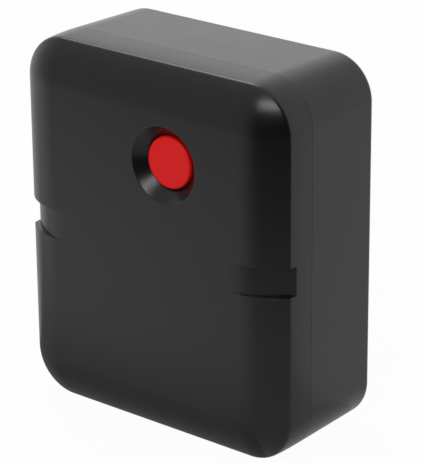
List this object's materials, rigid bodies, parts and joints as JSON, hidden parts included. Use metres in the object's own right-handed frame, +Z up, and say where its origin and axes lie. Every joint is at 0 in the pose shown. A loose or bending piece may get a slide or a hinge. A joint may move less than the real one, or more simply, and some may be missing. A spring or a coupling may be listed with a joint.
{
  "type": "gps tracker",
  "caption": "Black moulded battery-powered GPS tracker with a round red push button in a conical recess and strap notches on both front edges.",
  "frame": {"origin": "centre of the base, on the plane that the tracker stands on", "axes": "+Z up the height, -Y out of the front face with the button, +X to the right seen from the front"},
  "size_m": [0.0634, 0.0305, 0.075],
  "materials": {
    "housing_black": "fine moulded texture, satin black",
    "button_red": "smooth moulded, satin red",
    "inner_plastic": "plain moulded",
    "silicone_grey": "matt",
    "steel": "plain stainless",
    "tin_plate": "bright tin plate",
    "brass": "turned",
    "gold_plate": "gold flash",
    "board_laminate": "solder mask",
    "ceramic": "sintered ceramic",
    "chip_black": "moulded epoxy",
    "card_white": "satin card",
    "capacitor_sleeve": "shrunk sleeve",
    "connector_nylon": "natural nylon",
    "lead_insulation": "extruded insulation",
    "cell_sleeve": "shrunk printed sleeve"
  },
  "bodies": {
    "housing": {"front_cover": "housing_black", "rear_housing": "housing_black", "seam_gasket": "silicone_grey", "switch_base": "chip_black", "switch_cover_plate": "steel", "switch_legs": "tin_plate", "main_board": "board_laminate", "gnss_patch_antenna": "ceramic", "gnss_patch_electrode": "tin_plate", "gnss_receiver": "tin_plate", "cellular_module": "board_laminate", "cellular_shield": "tin_plate", "cellular_antenna_carrier": "inner_plastic", "cellular_antenna_element": "gold_plate", "sim_holder": "tin_plate", "sim_card": "card_white", "processor": "chip_black", "motion_sensor": "chip_black", "memory_chip": "chip_black", "power_inductor": "inner_plastic", "buffer_capacitor": "capacitor_sleeve", "battery_socket": "connector_nylon", "battery_plug": "connector_nylon", "battery_leads": "lead_insulation", "battery_tray": "inner_plastic", "battery_tape": "silicone_grey", "lithium_cells": "cell_sleeve", "cell_flat_contacts": "tin_plate", "cell_spring_contacts": "tin_plate", "board_screws": "steel", "thread_inserts": "brass", "case_screws": "steel", "sealing_washers": "silicone_grey"},
    "button": {"button_cap": "button_red", "button_o_ring": "silicone_grey"},
    "key_plunger": {"switch_plunger": "inner_plastic"}
  },
  "joints": [
    {"name": "button_press", "type": "slide", "parent": "housing", "child": "button", "axis": [0, 1, 0], "range_m": [0, 0.0005], "stiffness_N_per_m": 4000, "springref_m": -0.00015},
    {"name": "plunger_press", "type": "slide", "parent": "housing", "child": "key_plunger", "axis": [0, 1, 0], "range_m": [0, 0.0005]}
  ],
  "couplings": [
    {"joint": "plunger_press", "follows": "button_press", "ratio": 1}
  ]
}
